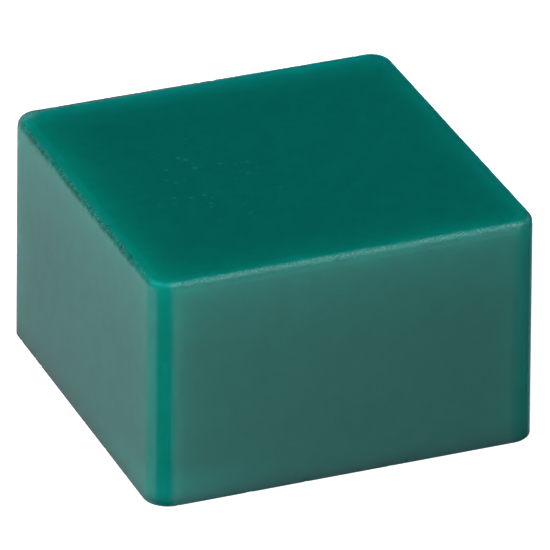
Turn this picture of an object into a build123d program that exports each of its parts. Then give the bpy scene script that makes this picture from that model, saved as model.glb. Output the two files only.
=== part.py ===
from build123d import *
import os
from math import radians, tan

# A squat block of cue chalk, cast in an open mould: its walls lean in a little towards
# the working face so that it drops out of the mould, its upright corners and the edge
# round the working face are rounded, and its base, struck off level with the mould's
# mouth, keeps a sharp edge. A square of paper is glued to the middle of the base.
#
# Millimetres. The origin is the centre of the surface that the chalk stands on, which
# is the underside of the paper, and +Z points up to the working face.

# ---- Chalk block ----
base_side = 22.2            # square base, 7/8 inch
block_height = 13.3         # base to working face
draft_angle = 0.6           # lean of each wall, in degrees
corner_radius = 1.4         # upright corners, at the base
rim_radius = 0.5            # edge round the working face

# ---- Paper label ----
label_margin = 1.6          # bare chalk between the label and the base's edge
label_thickness = 0.07
label_corner_radius = 0.8

# ---- Glue film between the label and the chalk ----
glue_thickness = 0.02
glue_setback = 0.3          # paper left unglued round the label's edge

# ---- Heights and widths that follow ----
label_top = label_thickness
base_height = label_top + glue_thickness
face_height = base_height + block_height
label_side = base_side - 2 * label_margin
glue_side = label_side - 2 * glue_setback
face_side = base_side - 2 * block_height * tan(radians(draft_angle))


# ---- chalk_block: the whole body of pressed abrasive, one solid ----
with BuildPart() as chalk_block:
    with BuildSketch(Plane.XY.offset(base_height)):
        RectangleRounded(base_side, base_side, corner_radius)
    extrude(amount=block_height, taper=draft_angle)
    rim = chalk_block.faces().sort_by(Axis.Z)[-1].edges()
    fillet(rim, radius=rim_radius)
chalk_block.part.label = "chalk_block"


# ---- base_label: a die-cut square of paper, the piece that the chalk stands on ----
with BuildPart() as base_label:
    with BuildSketch(Plane.XY):
        RectangleRounded(label_side, label_side, label_corner_radius)
    extrude(amount=label_thickness)
base_label.part.label = "base_label"


# ---- label_glue: the dried film that holds the paper to the base ----
with BuildPart() as label_glue:
    with BuildSketch(Plane.XY.offset(label_top)):
        RectangleRounded(glue_side, glue_side, label_corner_radius)
    extrude(amount=glue_thickness)
label_glue.part.label = "label_glue"


# ---- Write one STEP file for each piece ----
os.makedirs("parts", exist_ok=True)
export_step(chalk_block.part, "parts/chalk_block.step")
export_step(base_label.part, "parts/base_label.step")
export_step(label_glue.part, "parts/label_glue.step")

print(f"base {base_side:.2f} mm square, working face {face_side:.2f} mm across its walls")
print(f"working face {face_height:.2f} mm above the surface it stands on")
for piece in (chalk_block, base_label, label_glue):
    print(f"{piece.part.label}: {piece.part.volume:.1f} cubic mm")
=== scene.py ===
# %% [markdown]
# # A block of cue chalk
#
# Cue chalk is a small block of fine abrasive held in a waxy binder. A player rubs it on
# the leather tip of a cue so that the tip grips the ball. This one is a squat square
# block, cast in an open mould, with a square of paper glued under it.
#
# The lesson builds the block's skin as one fine mesh, gives the chalk, the paper and the
# glue their finishes, and sets up a small pale studio round them.
#
# The block's sizes are settled in a CAD model, which comes in first and stays as it is.
# Places could be typed in from a drawing, but here they are read from that model's
# boxes, so every piece goes where it belongs with nothing to fit afterwards.

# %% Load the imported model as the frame
import bpy
import math
import numpy as np
from mathutils import Matrix, Vector, noise


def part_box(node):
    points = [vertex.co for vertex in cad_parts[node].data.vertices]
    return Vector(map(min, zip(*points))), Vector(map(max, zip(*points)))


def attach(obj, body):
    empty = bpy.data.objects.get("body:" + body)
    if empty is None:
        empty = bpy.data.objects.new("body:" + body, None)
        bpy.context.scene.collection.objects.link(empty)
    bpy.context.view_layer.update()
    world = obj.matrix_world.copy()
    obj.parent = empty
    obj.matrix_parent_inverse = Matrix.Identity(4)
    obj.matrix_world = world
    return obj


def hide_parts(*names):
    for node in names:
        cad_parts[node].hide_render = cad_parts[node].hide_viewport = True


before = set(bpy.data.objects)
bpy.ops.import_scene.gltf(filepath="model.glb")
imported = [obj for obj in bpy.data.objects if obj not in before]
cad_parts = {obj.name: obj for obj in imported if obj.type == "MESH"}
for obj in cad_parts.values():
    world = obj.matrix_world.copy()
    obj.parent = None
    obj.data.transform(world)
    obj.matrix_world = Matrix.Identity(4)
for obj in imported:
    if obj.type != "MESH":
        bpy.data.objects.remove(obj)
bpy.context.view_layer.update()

MM = 0.001
block_low, block_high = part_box("chalk_block")

# %% [markdown]
# ## The camera
#
# A small thing is best seen from far off through a long lens, so that its upright edges
# stay nearly parallel. The camera looks at the front left corner from a little above, and
# leans by half a degree. It could be aimed with a Track To constraint, but a lean is
# easier to say in its own three directions: right, up and backwards.

# %% Camera
camera_azimuth = math.radians(-21.843)
camera_elevation = math.radians(27.849)
camera_lean = math.radians(0.524)
camera_distance = 445.0 * MM
aim_height = 6.946 * MM
aim_shift = Vector((0.201, -0.270)) * MM      # along the picture's right and up

backwards = Vector((
    math.sin(camera_azimuth) * math.cos(camera_elevation),
    -math.cos(camera_azimuth) * math.cos(camera_elevation),
    math.sin(camera_elevation),
))
level_right = (-backwards).cross(Vector((0, 0, 1))).normalized()
level_up = backwards.cross(level_right)
right = level_right * math.cos(camera_lean) + level_up * math.sin(camera_lean)
up = backwards.cross(right)
eye = Vector((0, 0, aim_height)) + right * aim_shift.x + up * aim_shift.y
eye = eye + backwards * camera_distance

camera_data = bpy.data.cameras.new("camera")
camera_data.sensor_width = 36.0
camera_data.lens = 538.55
camera_data.clip_start = 0.01
camera_data.clip_end = 10.0
camera = bpy.data.objects.new("camera", camera_data)
turned = Matrix((right, up, backwards)).transposed().to_4x4()
camera.matrix_world = Matrix.Translation(eye) @ turned
bpy.context.scene.collection.objects.link(camera)
bpy.context.scene.camera = camera
print("camera at, mm:", [round(part / MM, 1) for part in eye])

# %% [markdown]
# ## Shader sums in plain Python
#
# A finish is a graph of nodes. Written out node by node it is long and hard to read, and
# drawn by hand in the node editor it can't be kept as text. So one small class wraps a
# node's output and lets Python's own operators make the sums.

# %% A wrapper round a node's output
class Output:
    """A node's output in a node tree. The tree's start is an Output with no socket yet."""

    def __init__(self, tree, socket=None):
        self.tree = tree
        self.socket = socket

    def node(self, kind, settings=None, sockets=None, output=0):
        """Adds a node, sets it up, then fills its sockets with values or links."""
        made = self.tree.nodes.new(kind)
        for name, value in (settings or {}).items():
            setattr(made, name, value)
        for name, value in (sockets or {}).items():
            if isinstance(value, Output):
                self.tree.links.new(value.socket, made.inputs[name])
            else:
                made.inputs[name].default_value = value
        return Output(self.tree, made.outputs[output] if made.outputs else None)

    def count(self, what):
        """Tells how many nodes the tree has, now that something has been added."""
        print(what + ", nodes so far:", len(self.tree.nodes))

    def math(self, operation, *values):
        return self.node("ShaderNodeMath", {"operation": operation}, dict(enumerate(values)))

    def __add__(self, other):
        return self.math("ADD", self, other)

    def __sub__(self, other):
        return self.math("SUBTRACT", self, other)

    def __rsub__(self, other):
        return self.math("SUBTRACT", other, self)

    def __mul__(self, other):
        return self.math("MULTIPLY", self, other)

    def __abs__(self):
        return self.math("ABSOLUTE", self)

    __radd__ = __add__
    __rmul__ = __mul__

    def root(self):
        return self.math("SQRT", self)

    def smaller(self, other):
        return self.math("MINIMUM", self, other)

    def larger(self, other):
        return self.math("MAXIMUM", self, other)

    def rise(self, start, end):
        """0 up to start, 1 from end on, a smooth step between. start may be the larger."""
        low, high = min(start, end), max(start, end)
        at_low, at_high = (0.0, 1.0) if start < end else (1.0, 0.0)
        sockets = {"Value": self, "From Min": low, "From Max": high}
        sockets.update({"To Min": at_low, "To Max": at_high})
        return self.node("ShaderNodeMapRange", {"interpolation_type": "SMOOTHSTEP"}, sockets)

    def band(self, start, full, fade, end):
        """0 up to start, 1 from full to fade, and 0 again from end on."""
        return self.rise(start, full) * self.rise(end, fade)

    def mix(self, first, second):
        """A colour that goes from first to second as this value goes from 0 to 1."""
        settings = {"data_type": "RGBA"}
        return self.node("ShaderNodeMix", settings, {0: self, 6: first, 7: second}, output=2)

    def stretched(self, x_scale, y_scale, z_scale):
        """This place, scaled along each axis. A small scale makes long marks that way."""
        sockets = {"Vector": self, "Scale": (x_scale, y_scale, z_scale)}
        return self.node("ShaderNodeMapping", {}, sockets)

    def noise(self, grain, detail=2.0, roughness=0.5):
        """Noise of 0 to 1 at this place, with lumps about grain metres across."""
        sockets = {"Vector": self, "Scale": 1.0 / grain, "Detail": detail}
        sockets["Roughness"] = roughness
        return self.node("ShaderNodeTexNoise", {}, sockets)

    def cells(self, grain):
        """Distance to the nearest of many scattered points, as a share of grain."""
        return self.node("ShaderNodeTexVoronoi", {}, {"Vector": self, "Scale": 1.0 / grain})


# %% What every finish starts and ends with
def rgb(red, green, blue):
    return (red, green, blue, 1.0)


def new_material(name):
    """An empty material, and the start of its node tree."""
    material = bpy.data.materials.new(name)
    material.use_nodes = True
    material.node_tree.nodes.clear()
    return material, Output(material.node_tree)


def place_on_object(start):
    """The point being shaded, in the object's own metres, and its x, y and z."""
    place = start.node("ShaderNodeTexCoord", output="Object")
    parts = [place.node("ShaderNodeSeparateXYZ", {}, {0: place}, axis) for axis in "XYZ"]
    return place, *parts


def raised(start, relief):
    """A normal that is tilted as if the surface had this relief, in metres."""
    sockets = {"Height": relief, "Distance": 1.0, "Strength": 1.0}
    return start.node("ShaderNodeBump", {}, sockets)


def dress(thing, material, start, surface):
    """Ends a material with its surface, and gives it to an object in place of its own."""
    start.node("ShaderNodeOutputMaterial", {}, {"Surface": surface})
    thing.data.materials.clear()
    thing.data.materials.append(material)
    print(material.name, "has", len(material.node_tree.nodes), "nodes")


# %% [markdown]
# ## The block's shape
#
# Everything about the block's outline is a square grown by a radius: the centres of its
# upright corners stay put, while the walls lean in and the edge round the working face
# curls over. So a level of the block needs two numbers, its height and its radius.
#
# A mesh for this could come from a bevelled cube. It is built level by level instead, so
# that the fine edge can have eight times as many points along it as the walls, and so its
# chips can be cut in real geometry.

# %% The block's sizes, in metres
wall_lean = math.radians(0.6)
corner_radius = 1.4 * MM          # upright corners, at the base
rim_radius = 0.5 * MM             # edge round the working face
base_half = block_high.x          # half the base's side
corner_centre = base_half - corner_radius
rim_centre_height = block_high.z - rim_radius
rim_centre = (
    base_half - (rim_centre_height - block_low.z) * math.tan(wall_lean)
    - rim_radius / math.cos(wall_lean)
)
rim_inside = rim_centre - corner_centre       # the rim's centre line, as a level's radius
print("working face, mm across:", round(2 * rim_centre / MM, 3))


# %% Points round one level, and a grid of points across it
STRAIGHT_STEPS = 32               # along a side's straight part, at a fineness of 0
CORNER_STEPS = 2                  # along half of a rounded corner, at a fineness of 0


def stations(fineness):
    """Places along a side: -1 to 1 on the straight part, and 1 beyond that at its corners."""
    straight = np.linspace(-1, 1, STRAIGHT_STEPS * 2 ** fineness + 1)
    corner = np.linspace(0, 1, CORNER_STEPS * 2 ** fineness + 1)[1:]
    return np.concatenate([-1 - corner[::-1], straight, 1 + corner])


def spread(u, v, centre, radius):
    """Turns a pair of stations into x and y, with the square's corners bent to arcs."""
    over_u = np.clip(np.abs(u) - 1, 0, 1)
    over_v = np.clip(np.abs(v) - 1, 0, 1)
    bend_u = np.sign(u) * over_u * np.sqrt(1 - over_v ** 2 / 2)
    bend_v = np.sign(v) * over_v * np.sqrt(1 - over_u ** 2 / 2)
    x = np.clip(u, -1, 1) * centre + bend_u * radius
    y = np.clip(v, -1, 1) * centre + bend_v * radius
    return x, y


def level_loop(fineness, centre, radius, height):
    """The closed loop of points round a rounded square, counter-clockwise."""
    along = stations(fineness)[:-1]
    edge = np.full(len(along), 2.0)
    u = np.concatenate([along, edge, -along, -edge])
    v = np.concatenate([-edge, along, edge, -along])
    x, y = spread(u, v, centre, radius)
    return np.column_stack([x, y, np.full(len(x), height)])


def level_grid(fineness, centre, radius, height):
    """All the points inside such a loop."""
    inside = stations(fineness)[1:-1]
    u, v = np.meshgrid(inside, inside, indexing="ij")
    x, y = spread(u.ravel(), v.ravel(), centre, radius)
    return np.column_stack([x, y, np.full(len(x), height)])


# %% A skin that grows from loops and grids
class Skin:
    """Points and faces, gathered loop by loop round corners at one centre."""

    def __init__(self, centre):
        self.centre = centre
        self.points = []
        self.faces = []
        self.count = 0
        self.loop = None

    def add(self, points):
        first = self.count
        self.points.append(points)
        self.count += len(points)
        return np.arange(first, self.count)

    def grow(self, fineness, radius, height):
        """Adds a loop and joins it to the last one."""
        below = self.loop
        self.loop = self.add(level_loop(fineness, self.centre, radius, height))
        if below is not None:
            self.join(below, self.loop)

    def join(self, below, above):
        """Faces between two loops. One of them may have twice as many points."""
        if len(below) == len(above):
            after_below, after_above = np.roll(below, -1), np.roll(above, -1)
            self.faces += zip(below, after_below, after_above, above)
            return
        fine, coarse = (below, above) if len(below) > len(above) else (above, below)
        turned = fine is below
        for i in range(len(coarse)):
            a, b = coarse[i], coarse[(i + 1) % len(coarse)]
            p, q, r = fine[2 * i], fine[2 * i + 1], fine[(2 * i + 2) % len(fine)]
            fan = [(a, q, p), (a, b, q), (b, r, q)]
            self.faces += [corners[::-1] for corners in fan] if turned else fan

    def close(self, fineness, radius, height, faces_up):
        """Fills the last loop with a grid of points."""
        inner = self.add(level_grid(fineness, self.centre, radius, height))
        side = len(self.loop) // 4
        table = np.empty((side + 1, side + 1), dtype=int)
        table[1:-1, 1:-1] = inner.reshape(side - 1, side - 1)
        table[:-1, 0] = self.loop[:side]
        table[-1, :-1] = self.loop[side:2 * side]
        table[:0:-1, -1] = self.loop[2 * side:3 * side]
        table[0, :0:-1] = self.loop[3 * side:]
        a, b = table[:-1, :-1].ravel(), table[1:, :-1].ravel()
        c, d = table[1:, 1:].ravel(), table[:-1, 1:].ravel()
        self.faces += zip(a, b, c, d) if faces_up else zip(d, c, b, a)

    def mesh(self, name, points):
        """A Blender mesh of these faces, on the points given."""
        made = bpy.data.meshes.new(name)
        made.from_pydata(points.tolist(), [], [tuple(map(int, face)) for face in self.faces])
        return made


# %% [markdown]
# The levels run from the base, up the wall, round the rim and in across the working face.
# Chips are cut into the rim and the base's edge, so the points are close together there:
# 0.04 mm apart along the rim, 0.15 mm on the working face and 0.3 mm on the walls. Where
# the spacing halves, three triangles join each long step to two short ones.

# %% The levels, from the base up and in: fineness, radius and height
COARSE, MIDDLE, FINE, FINEST = 1, 2, 3, 4
foot_break = 0.04 * MM            # the base's edge is sharp, but not a razor
wall_top = rim_centre_height + rim_radius * math.sin(wall_lean)


def on_wall(fineness, height):
    """A level on the leaning wall, whose radius shrinks as it goes up."""
    return fineness, corner_radius - (height - block_low.z) * math.tan(wall_lean), height


base_insets = [(MIDDLE, 0.30 * MM), (FINE, 0.14 * MM), (FINE, foot_break)]
levels = [(fineness, corner_radius - inset, block_low.z) for fineness, inset in base_insets]

foot_rises = [(FINE, foot_break), (FINE, 0.11 * MM), (FINE, 0.20 * MM), (MIDDLE, 0.34 * MM)]
levels += [on_wall(fineness, block_low.z + rise) for fineness, rise in foot_rises]
wall_heights = np.linspace(block_low.z + 0.5 * MM, wall_top - 0.7 * MM, 40)
levels += [on_wall(COARSE, height) for height in wall_heights]
levels += [on_wall(MIDDLE, wall_top - 0.50 * MM), on_wall(FINE, wall_top - 0.37 * MM)]
under_rim = np.linspace(wall_top - 0.28 * MM, wall_top, 6)[:-1]
levels += [on_wall(FINEST, height) for height in under_rim]

for turn in np.linspace(wall_lean, math.pi / 2, 14):
    radius = rim_inside + rim_radius * math.cos(turn)
    levels.append((FINEST, radius, rim_centre_height + rim_radius * math.sin(turn)))

face_radius = rim_inside - 0.42 * MM          # where the working face's even grid begins
face_insets = [(FINEST, 0.06 * MM), (FINEST, 0.12 * MM), (FINE, 0.19 * MM), (FINE, 0.27 * MM)]
levels += [(fineness, rim_inside - inset, block_high.z) for fineness, inset in face_insets]
levels.append((MIDDLE, face_radius, block_high.z))
print("levels:", len(levels))

# %% Join them into one closed skin
base_radius = corner_radius - 0.55 * MM       # where the base's even grid begins
skin = Skin(corner_centre)
skin.grow(COARSE, base_radius, block_low.z)
skin.close(COARSE, base_radius, block_low.z, faces_up=False)
for fineness, radius, height in levels:
    skin.grow(fineness, radius, height)
skin.close(MIDDLE, face_radius, block_high.z, faces_up=True)

smooth_points = np.concatenate(skin.points)
block_mesh = skin.mesh("chalk_body", smooth_points)
normals = np.empty(3 * len(smooth_points))
block_mesh.vertex_normals.foreach_get("vector", normals)
normals = normals.reshape(-1, 3)
print("block skin:", len(smooth_points), "points,", len(skin.faces), "faces")

# %% [markdown]
# ## Chips, grain and pits
#
# Cast chalk crumbles where it is thinnest. The rim round the working face and the edge of
# the base lose grains all along, and here and there a flake. The working face has small
# pits left by air bubbles, most of them in one patch.
#
# A bump map could fake all this in one view. Here each point of the skin is pushed in
# along its own normal, so that the wear is real and every light finds it. Nothing is
# pushed outwards, so the block never outgrows its size.

# %% Noise and scoops at many points
seeded = np.random.default_rng(20)


def lumps(points, size, layer):
    """Smooth noise of about -1 to 1 at each point, with lumps about size metres across."""
    shift = Vector((7.3, 3.1, 5.7)) * layer
    return np.array([noise.noise(Vector(point) / size + shift) for point in points])


def scoops(points, centres, sizes, depths, ragged):
    """How far in each point is pushed by the deepest of many small round bites."""
    pushed = np.zeros(len(points))
    for centre, size, depth in zip(centres, sizes, depths):
        away = np.linalg.norm(points - centre, axis=1) / size + ragged
        pushed = np.maximum(pushed, depth * np.clip(1 - away ** 2, 0, None))
    return pushed


# %% Wear all along the rim
def beyond_rim_centre(points):
    """How far each point is outside and above the centre line of the rim's curl."""
    past = np.clip(np.abs(points[:, :2]) - corner_centre, 0, None)
    return np.hypot(past[:, 0], past[:, 1]) - rim_inside, points[:, 2] - rim_centre_height


points_outside, points_above = beyond_rim_centre(smooth_points)
points_off_rim = np.clip(np.maximum(-points_outside, -points_above), 0, None)
near_rim = np.flatnonzero(points_off_rim < 0.2 * MM)
rim_points = smooth_points[near_rim]
rim_share = np.clip(1 - points_off_rim[near_rim] / (0.16 * MM), 0, 1)

worn_patches = 0.5 + 0.5 * lumps(rim_points, 1.3 * MM, 1)
grain = lumps(rim_points, 0.10 * MM, 2) + lumps(rim_points, 0.05 * MM, 3) * 0.6
rim_push = (1 + grain) * (0.010 + 0.014 * worn_patches) * MM
rim_push += (1 + lumps(rim_points, 2.4 * MM, 4)) * 0.008 * MM
print("wear along the rim, mm:", round(rim_push.mean() / MM, 3), "on average")

# %% Flakes lost from the rim
flakes_on_side = {(0, -1): 120, (-1, 0): 95, (1, 0): 60, (0, 1): 60}
centres, sizes, depths = [], [], []
for (side_x, side_y), count in flakes_on_side.items():
    for along in seeded.uniform(-1.02, 1.02, count) * corner_centre:
        turn = math.radians(seeded.uniform(18, 78))
        out = rim_centre + rim_radius * math.cos(turn)
        up_rim = rim_centre_height + rim_radius * math.sin(turn)
        centres.append((side_x * out + side_y * along, side_y * out + side_x * along, up_rim))
        sizes.append(seeded.uniform(0.05, 0.12) * (1 + seeded.random() ** 6) * MM)
        depths.append(sizes[-1] * seeded.uniform(0.10, 0.20))
rim_push += scoops(rim_points, centres, sizes, depths, 0.2 * grain)
print("flakes off the rim:", len(centres), "deepest push, mm:", round(rim_push.max() / MM, 3))

# %% Crumbs lost from the base's edge
is_low = smooth_points[:, 2] < block_low.z + 0.30 * MM
is_outer = np.linalg.norm(smooth_points[:, :2], axis=1) > base_half * 0.9
near_foot = np.flatnonzero(is_low & is_outer)
foot_points = smooth_points[near_foot]
centres = foot_points[seeded.integers(0, len(foot_points), 90)]
sizes = seeded.uniform(0.07, 0.16, len(centres)) * MM
foot_grain = lumps(foot_points, 0.16 * MM, 5)
foot_push = scoops(foot_points, centres, sizes, sizes * 0.16, 0.3 * foot_grain)
print("crumbs off the base's edge:", len(centres))

# %% Pits in the working face
is_face = (smooth_points[:, 2] > block_high.z - 0.001 * MM) & (points_outside < 0)
on_working_face = np.flatnonzero(is_face)
patch_centre, patch_spread = np.array([-4.0, -0.3]) * MM, np.array([2.6, 3.2]) * MM
centres = patch_centre + patch_spread * seeded.normal(size=(34, 2))
centres = np.clip(centres, -9 * MM, 9 * MM)
centres = np.column_stack([centres, np.full(len(centres), block_high.z)])
sizes = seeded.uniform(0.14, 0.26, len(centres)) * MM
depths = sizes * seeded.uniform(0.04, 0.09, len(centres))
face_push = scoops(smooth_points[on_working_face], centres, sizes, depths, 0)
print("pits:", len(centres), "deepest, mm:", round(face_push.max() / MM, 3))

# %% Push the points in, and make the object
push = (1 + lumps(smooth_points, 4.5 * MM, 6)) * 0.002 * MM    # no cast face is quite even
push[near_rim] += rim_push * rim_share
push[near_foot] += foot_push
push[on_working_face] += face_push

worn_points = smooth_points - normals * push[:, None]
worn_points[:, 2] = np.clip(worn_points[:, 2], block_low.z, block_high.z)
block_mesh.vertices.foreach_set("co", worn_points.ravel())
block_mesh.shade_smooth()
block_mesh.update()
chalk_body = bpy.data.objects.new("chalk_body", block_mesh)
bpy.context.scene.collection.objects.link(chalk_body)
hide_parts("chalk_block")
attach(chalk_body, "root")
print("deepest push anywhere, mm:", round(push.max() / MM, 3))

# %% [markdown]
# ## The chalk's finish
#
# Cue chalk is dyed silica and abrasive in a little wax. Fresh from the mould its skin has
# a soft waxy sheen, and light enters the block and comes out again near its edges, which
# is why they look brighter. Along the front rim's crest and low near the front left corner
# that brightness is helped by painted light. Where the skin has flaked off, the grains
# underneath are paler and rougher, and on the rim's crest this paleness is partly a painted
# highlight. Dark lines run under the left rim, along the right rim and the base's edge; the
# one at the base is painted shade, as are the dark pits and the darker middles of the walls,
# and the pale specks among the pits are painted glints. A darker grey film lies on the far
# rim.
#
# Paint alone could give the colours, but not the glow. So there are two shaders, a waxy
# one that light goes into and a dull one that stops it, and a mask mixes them. The mask
# and the colours are worked out from where a point is and from noise.

# %% Where the rim, the base's edge and the corners are
chalk, start = new_material("green_chalk")
place, x, y, z = place_on_object(start)


def beyond_square(x, y, half):
    """How far a place is outside a square, along x and along y."""
    return (abs(x) - half).larger(0.0), (abs(y) - half).larger(0.0)


past_x, past_y = beyond_square(x, y, corner_centre)
outside = (past_x * past_x + past_y * past_y).root() - rim_inside
above = z - rim_centre_height
off_rim = (outside * -1).larger(above * -1)
into_curl = outside.smaller(above)

on_rim = off_rim.rise(0.20 * MM, 0.02 * MM)
on_curl = into_curl.rise(0.03 * MM, 0.15 * MM)
on_crest = into_curl.rise(0.18 * MM, 0.32 * MM)      # the middle of the curl
on_corner = past_x.smaller(past_y).rise(0.0, 0.4 * MM)
on_foot = z.rise(block_low.z + 0.22 * MM, block_low.z + 0.02 * MM)
at_back = y.rise(base_half - 1.1 * MM, base_half - 0.5 * MM)
at_left = x.rise(-corner_centre, -corner_centre - 0.5 * MM)
start.count("rim, base's edge and corners")

# %% Bare grain on the rim and the base's edge, which on the rim's crest is partly a painted highlight
rim_grain = place.noise(0.08 * MM, detail=2.0, roughness=0.6)
bare_patches = place.noise(1.6 * MM, detail=1.0).rise(0.24, 0.50)
bare_rim = on_crest * (1.0 - on_corner * 0.6) * (1.0 - at_left * 0.5) * bare_patches
# Pale bare grain is real wear. On the rim's crest it also paints part of the rim's highlight.
pale_grain_and_highlight = rim_grain.rise(0.50, 0.64) * bare_rim.larger(on_foot * 0.12)
start.count("bare grain")

# %% A darker grey film on the far rim, thickest at its left corner
back_film = off_rim.rise(0.24 * MM, 0.08 * MM) * at_back * x.rise(5.0 * MM, -6.0 * MM)
far_left = y.rise(base_half - 1.8 * MM, base_half - 0.8 * MM)
far_left = far_left * x.rise(1.9 * MM - base_half, 0.9 * MM - base_half)
far_corner = off_rim.rise(0.7 * MM, 0.1 * MM) * far_left
mottle = place.noise(0.12 * MM, detail=2.0).rise(0.34, 0.54)
film = mottle * back_film.larger(far_corner * 0.55)
start.count("film of dust")

# %% Specks and pits in the working face, most of them where its deeper pits are
from_patch_x = (x - patch_centre[0]) * (1 / (patch_spread[0] * 1.5))
from_patch_y = (y - patch_centre[1]) * (1 / (patch_spread[1] * 1.5))
in_patch = (from_patch_x * from_patch_x + from_patch_y * from_patch_y).rise(1.6, 0.2)
on_face = off_rim.rise(0.1 * MM, 0.5 * MM)
on_face = on_face * z.rise(block_high.z - 0.3 * MM, block_high.z - 0.1 * MM)
pitted = place.noise(0.9 * MM, detail=0.0).rise(0.46, 0.60) * (in_patch * 0.9 + 0.1) * on_face
# Painted glints: small pale specks where the working face is pitted.
speck_glint = place.cells(0.60 * MM).rise(0.34, 0.12) * pitted
# The pits are real hollows in the relief further on. The darkness they give the colour is
# painted shade.
pit = place.cells(0.45 * MM).rise(0.22, 0.08) * pitted
start.count("specks and pits")

# %% Thin dark lines, and painted shade at the base's edge and in the pits
# A dark line under the left rim, broken up by noise.
under_left_rim = outside.rise(0.18 * MM, 0.40 * MM) * above.rise(-0.08 * MM, 0.04 * MM)
under_left_rim = under_left_rim * at_left * y.rise(-corner_centre, 3.0 * MM - corner_centre)
left_rim_line = under_left_rim * place.noise(0.40 * MM, detail=2.0).rise(0.36, 0.58)
# Painted shade: a dark line along the base's edge, where it meets the floor.
foot_shade_line = z.rise(block_low.z + 0.12 * MM, block_low.z + 0.03 * MM)
# A dark line along the outer curl of the right rim.
right_line = x.rise(rim_centre + 0.12 * MM, rim_centre + 0.40 * MM)
right_line = right_line * above.rise(0.0, 0.10 * MM)
# All the dark lines together, with painted shade in the pits.
dark_lines_and_shade = (left_rim_line.larger(foot_shade_line) * 0.55).larger(pit * 0.22).larger(right_line * 0.5)
start.count("lines of dirt")

# %% Painted shade in the middle of the walls, a painted highlight on the front crest, and painted light near the front left foot
# Painted shade: each wall is darker in its middle, away from its edges and corners.
wall_middle_shade = above.rise(-1.5 * MM, -5.0 * MM)
wall_middle_shade = wall_middle_shade * z.rise(block_low.z + 0.5 * MM, block_low.z + 4.0 * MM)
wall_middle_shade = wall_middle_shade * (1.0 - past_x.smaller(past_y).rise(0.0, 0.3 * MM))
# Painted highlight: the crest of the front rim is a lighter green.
front_crest_highlight = on_crest * y.rise(1.5 * MM - base_half, 0.9 * MM - base_half)
front_crest_highlight = front_crest_highlight * x.rise(base_half - 0.9 * MM, base_half - 1.6 * MM)
# Painted light: low on the walls near the front left corner the green is lighter.
near_corner = (x * -0.7 + y * -0.7).rise(9.0 * MM, 14.5 * MM)
foot_painted_light = z.rise(block_low.z + 2.6 * MM, block_low.z + 0.3 * MM) * near_corner
start.count("deeper and lighter green")

# %% The chalk's colour, one layer over another
deep_green, cloudy_green = rgb(0.0010, 0.097, 0.0770), rgb(0.0012, 0.103, 0.0820)
# Pale green for bare grain, and a lighter green for painted glints.
pale_green, glint_green = rgb(0.070, 0.165, 0.150), rgb(0.030, 0.185, 0.160)
# The colours of a painted highlight on the front crest and of painted light near the foot.
highlight_green, foot_light_green = rgb(0.004, 0.20, 0.175), rgb(0.002, 0.19, 0.155)
# Dark green for painted shade and the dark lines.
dark_green = rgb(0.0006, 0.030, 0.025)

cloud = place.noise(1.1 * MM, detail=3.0, roughness=0.6)
colour = cloud.rise(0.35, 0.65).mix(deep_green, cloudy_green)
# Painted shade in the middle of the walls.
colour = (wall_middle_shade * 0.15).mix(colour, dark_green)
# Pale grain: wear, and on the rim's crest partly a painted highlight.
colour = (pale_grain_and_highlight * 0.15).mix(colour, pale_green)
# Painted glints on the working face.
colour = (speck_glint * 0.30).mix(colour, glint_green)
# Painted highlight on the front rim's crest.
colour = (front_crest_highlight * 0.3).mix(colour, highlight_green)
# Painted light near the front left corner's foot.
colour = (foot_painted_light * 0.45).mix(colour, foot_light_green)
# Dark lines, and painted shade at the base's edge and in the pits.
colour = dark_lines_and_shade.mix(colour, dark_green)
start.count("the chalk's colour")

# %% Sheen and fine relief
drag_marks = place.stretched(1.0, 1.0, 0.15).noise(0.22 * MM, detail=2.0)
roughness = 0.13 + cloud * 0.03 + drag_marks * 0.02 + pale_grain_and_highlight * 0.12 + speck_glint * 0.10
roughness = roughness + on_rim * 0.03

fine_grain = place.noise(0.075 * MM, detail=2.0, roughness=0.6)
relief = fine_grain * (0.0006 * MM) + drag_marks * (0.0007 * MM) + cloud * (0.0004 * MM)
rough_curl = on_curl * (1.0 - on_corner * 0.7)
relief = relief + rough_curl * (rim_grain - 0.5) * (0.040 * MM)
relief = relief - pit * (0.0015 * MM)
chalk_normal = raised(start, relief)
start.count("sheen and relief")

# %% Waxy where the skin is whole, dusty where it is not
waxy = start.node("ShaderNodeBsdfPrincipled", {"subsurface_method": "RANDOM_WALK"}, {
    "Base Color": colour,
    "Roughness": roughness,
    "Normal": chalk_normal,
    "Subsurface Weight": 1.0,
    "Subsurface Radius": (0.15, 1.0, 0.95),
    "Subsurface Scale": 15.5 * MM,
})
# The dull skin is pale grey green, and dark grey on the far rim.
pale_grey, far_grey = rgb(0.13, 0.20, 0.185), rgb(0.055, 0.066, 0.060)
dull_skin = start.node("ShaderNodeBsdfPrincipled", {}, {
    "Base Color": at_back.mix(pale_grey, far_grey),
    "Roughness": 0.85,
    "Normal": chalk_normal,
})
# The dull skin covers the pale grain, partly a painted highlight on the rim's crest, and the
# grey film on the far rim.
dull_share = (pale_grain_and_highlight * 0.58 + film * 0.85).smaller(1.0)
surface = start.node("ShaderNodeMixShader", {}, {0: dull_share, 1: waxy, 2: dull_skin})
dress(chalk_body, chalk, start, surface)

# %% [markdown]
# ## The paper label
#
# A square of thin uncoated paper is glued under the block. It is cut with a steel die,
# so its corners are round and its cut edge is a little furry, and the damp of the glue
# leaves it faintly cockled. It carries only a plain printed border.
#
# A flat plate would do from a distance. This one is a closed sheet of real thickness
# with the cockle in its mesh, and the fibres and the print are in its finish.

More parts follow.
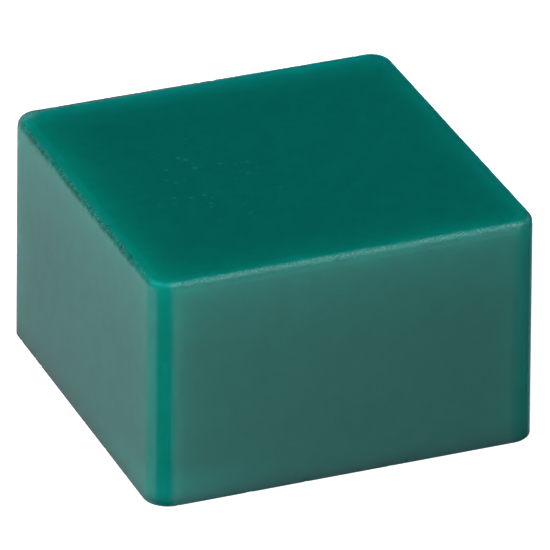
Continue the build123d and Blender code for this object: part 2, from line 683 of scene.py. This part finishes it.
# %% Build the label
label_low, label_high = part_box("base_label")
label_corner = 0.8 * MM
label_thickness = label_high.z - label_low.z
cut_break = 0.012 * MM            # how far the cut edge is rounded over
grid_inset = 0.3 * MM             # where the even grid begins
next_inset = 0.14 * MM            # the level between that and the cut edge

label_levels = [(MIDDLE, next_inset, 0.0), (FINE, cut_break, 0.0), (FINE, 0.0, cut_break)]
label_levels += [(FINE, 0.0, label_thickness - cut_break), (FINE, cut_break, label_thickness)]
label_levels += [(MIDDLE, next_inset, label_thickness), (COARSE, grid_inset, label_thickness)]

label = Skin(label_high.x - label_corner)
label.grow(COARSE, label_corner - grid_inset, label_low.z)
label.close(COARSE, label_corner - grid_inset, label_low.z, faces_up=False)
for fineness, inset, rise in label_levels:
    label.grow(fineness, label_corner - inset, label_low.z + rise)
label.close(COARSE, label_corner - grid_inset, label_high.z, faces_up=True)
print("label:", len(label.faces), "faces")

# %% Cockle the paper and fray its cut edge
label_points = np.concatenate(label.points)
cockle = (1 + lumps(label_points, 2.2 * MM, 7)) * 0.004 * MM
label_points[:, 2] += cockle * (label_high.z - label_points[:, 2]) / label_thickness
fray = (1 + lumps(label_points, 0.10 * MM, 8)) * 0.008 * MM
label_points[:, :2] *= (1 - fray / label_high.x)[:, None]

label_mesh = label.mesh("paper_label", label_points)
label_mesh.shade_smooth()
paper_label = bpy.data.objects.new("paper_label", label_mesh)
bpy.context.scene.collection.objects.link(paper_label)
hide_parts("base_label")
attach(paper_label, "root")
print("label:", len(label_points), "points, thickness, mm:", round(label_thickness / MM, 3))

# %% [markdown]
# ## The paper's finish
#
# Cheap paper is a mat of long fibres, and it yellows in patches. Chalk rubs off on it,
# and ink sits unevenly on its fibres. A scan of real paper could be wrapped round the
# label, but two noises, each stretched one way, make fibres of any size.

# %% Fibres, and ink in a plain border
paper, start = new_material("label_paper")
place, x, y, z = place_on_object(start)
along_x = place.stretched(0.15, 1.0, 1.0).noise(0.05 * MM, detail=3.0)
along_y = place.stretched(1.0, 0.2, 1.0).noise(0.06 * MM, detail=3.0)
fibres = along_x.larger(along_y)

border_centre, border_radius, border_half = 7.6 * MM, 0.6 * MM, 0.14 * MM
past_x, past_y = beyond_square(x, y, border_centre)
from_border = abs((past_x * past_x + past_y * past_y).root() - border_radius)
underneath = z.rise(label_low.z + 0.04 * MM, label_low.z + 0.02 * MM)
ink = from_border.rise(border_half, border_half - 0.03 * MM) * underneath
ink = ink * fibres.rise(0.30, 0.55)
start.count("fibres and ink")

# %% The paper's colour and feel
tone = place.noise(2.5 * MM, detail=3.0)
rubbed = place.noise(0.8 * MM, detail=3.0).rise(0.52, 0.75) * 0.35
colour = tone.rise(0.35, 0.70).mix(rgb(0.66, 0.62, 0.53), rgb(0.76, 0.73, 0.65))
colour = (fibres.rise(0.45, 0.75) * 0.5).mix(colour, rgb(0.56, 0.52, 0.44))
colour = rubbed.mix(colour, rgb(0.20, 0.42, 0.37))
colour = (ink * 0.9).mix(colour, rgb(0.012, 0.075, 0.060))
surface = start.node("ShaderNodeBsdfPrincipled", {}, {
    "Base Color": colour,
    "Roughness": 0.78 + tone * 0.12 - ink * 0.2,
    "Normal": raised(start, fibres * (0.004 * MM)),
})
dress(paper_label, paper, start, surface)

# %% [markdown]
# ## The glue
#
# Between paper and chalk lies a film of dried water-based glue, a fiftieth of a
# millimetre thick. It could be a mesh of its own, but only its edge could ever be seen.
# So the frame's own solid stands for it, and it gets the finish of such glue: amber,
# glossy where thick, dull where starved.

# %% Finish of the glue
glue, start = new_material("dried_glue")
place, x, y, z = place_on_object(start)
starved = place.noise(0.7 * MM, detail=4.0, roughness=0.6).rise(0.40, 0.65)
strokes = place.stretched(1.0, 0.12, 1.0).noise(0.3 * MM, detail=2.0)
surface = start.node("ShaderNodeBsdfPrincipled", {}, {
    "Base Color": starved.mix(rgb(0.42, 0.30, 0.14), rgb(0.60, 0.50, 0.32)),
    "Roughness": 0.28 + starved * 0.35,
    "Normal": raised(start, strokes * (0.002 * MM) + starved * (0.001 * MM)),
})
dress(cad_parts["label_glue"], glue, start, surface)

# %% [markdown]
# ## The floor
#
# Small goods are often shown on a white sheet that is lit from below, so that no shadow
# is left. It could be built as a lamp under glass. Here the floor's paint glows instead.
# Seen by the camera it glows evenly. As a light on the block it glows only in front and
# to the left, because those are the walls that pick up light from the sheet.

# %% Floor
floor_half = 3.0
floor_drop = 0.01 * MM            # just clear of the label, so that the two never mix
floor_signs = [(-1, -1), (1, -1), (1, 1), (-1, 1)]
floor_corners = [(sx * floor_half, sy * floor_half, -floor_drop) for sx, sy in floor_signs]
floor_mesh = bpy.data.meshes.new("floor")
floor_mesh.from_pydata(floor_corners, [], [(0, 1, 2, 3)])
floor = bpy.data.objects.new("floor", floor_mesh)
floor.visible_glossy = False
bpy.context.scene.collection.objects.link(floor)
print("floor, m across:", 2 * floor_half)

# %% The floor's paint, and its glow
floor_paint, start = new_material("floor_paint")
place, x, y, z = place_on_object(start)
front_left = (x * -0.85 + y * -0.45).rise(2.0 * MM, 24.0 * MM)
from_middle = abs(x).larger(abs(y))
clear_of_block = from_middle.rise(base_half - 0.1 * MM, base_half + 0.7 * MM)
glow = (front_left * clear_of_block).mix(rgb(0.0, 0.0, 0.0), rgb(1.0, 1.0, 1.0))
seen_directly = start.node("ShaderNodeLightPath", output="Is Camera Ray")
surface = start.node("ShaderNodeBsdfPrincipled", {}, {
    "Base Color": rgb(0.36, 0.36, 0.36),
    "Roughness": 1.0,
    "Specular IOR Level": 0.0,
    "Emission Color": seen_directly.mix(glow, rgb(0.95, 0.95, 0.95)),
    "Emission Strength": 1.0,
})
dress(floor, floor_paint, start, surface)

# %% [markdown]
# ## The studio
#
# A satin surface shows what stands round it, so a studio has pale cards and a soft box
# placed where the surface mirrors them. Those could be glowing planes. Painting them on
# the world is quicker to adjust: each is a patch of light between two bearings and two
# heights, in degrees, and none of them can get in the picture's way. Bearings turn from
# +X to the left, so 90 is behind the block, 180 to its left and 270 in front. The camera
# itself sees plain white behind the floor, since the cards are only there to be mirrored.

# %% Bearing and height of a ray
world = bpy.data.worlds.new("studio")
bpy.context.scene.world = world
world.use_nodes = True
world.node_tree.nodes.clear()
start = Output(world.node_tree)
ray = start.node("ShaderNodeTexCoord", output="Generated")
ray_x, ray_y, ray_z = [ray.node("ShaderNodeSeparateXYZ", {}, {0: ray}, axis) for axis in "XYZ"]
TO_DEGREES = 180 / math.pi
bearing = ray_x.math("ARCTAN2", ray_y, ray_x) * TO_DEGREES
bearing = bearing.math("FLOORED_MODULO", bearing, 360.0)
height = ray_z.math("ARCSINE", ray_z) * TO_DEGREES
start.count("bearing and height")

# %% A soft box in front, a faint fill behind, and cards low down on three sides
front_box = bearing.band(284, 291, 303, 316) * height.band(16, 28, 52, 64) * 8.6
back_fill = (bearing.rise(334, 360) + bearing.rise(56, 20)) * height.band(0, 12, 24, 42) * 0.35

left_card = (0.31 + bearing.rise(60, 175) * 0.46) * bearing.band(20, 80, 184, 206)
right_card = 0.02 + bearing.band(8, 18, 50, 70) * 0.22
front_card = bearing.rise(250, 299) * (1.0 - bearing.rise(289.0, 295.5) * 0.76)
front_card = front_card * (1.0 - bearing.rise(298, 330) * 0.6) * 1.25
nearer_block = 0.4 + height.rise(-33, -25) * 0.75      # the cards darken towards their feet

light = front_box + back_fill
light = light + height.rise(0, -20) * left_card * nearer_block
light = light + height.rise(-12, -18) * right_card
light = light + height.rise(24, 8) * front_card * nearer_block

seen_directly = start.node("ShaderNodeLightPath", output="Is Camera Ray")
background = start.node("ShaderNodeBackground", {}, {
    "Color": seen_directly.mix(rgb(0.975, 1.0, 1.09), rgb(1.0, 1.0, 1.0)),
    "Strength": light.larger(seen_directly),
})
start.node("ShaderNodeOutputWorld", {}, {"Surface": background})
print("studio:", len(world.node_tree.nodes), "nodes")

# %% [markdown]
# ## The lamp
#
# One big soft lamp to the left and above does most of the lighting. An area lamp would
# show in the block's sheen and fall off across it. A sun lamp as wide as a window has no
# fall-off, and with its glossy rays off it lights the block without being mirrored.

# %% Lamp
lamp_bearing, lamp_height = math.radians(194), math.radians(42)
lamp_width = math.radians(67)
towards_lamp = Vector((
    math.cos(lamp_height) * math.cos(lamp_bearing),
    math.cos(lamp_height) * math.sin(lamp_bearing),
    math.sin(lamp_height),
))
lamp_data = bpy.data.lights.new("soft_lamp", "SUN")
lamp_data.energy = 4.45
lamp_data.angle = lamp_width
lamp = bpy.data.objects.new("soft_lamp", lamp_data)
lamp.rotation_mode = "QUATERNION"
lamp.rotation_quaternion = towards_lamp.to_track_quat("Z", "Y")
lamp.visible_glossy = False
bpy.context.scene.collection.objects.link(lamp)
print("towards the lamp:", [round(part, 3) for part in towards_lamp])

# %% [markdown]
# ## Colours as they are
#
# A filmic view would soften the deep green to grey, so the plain view transform is used.

# %% The plain view transform
bpy.context.scene.view_settings.view_transform = "Standard"
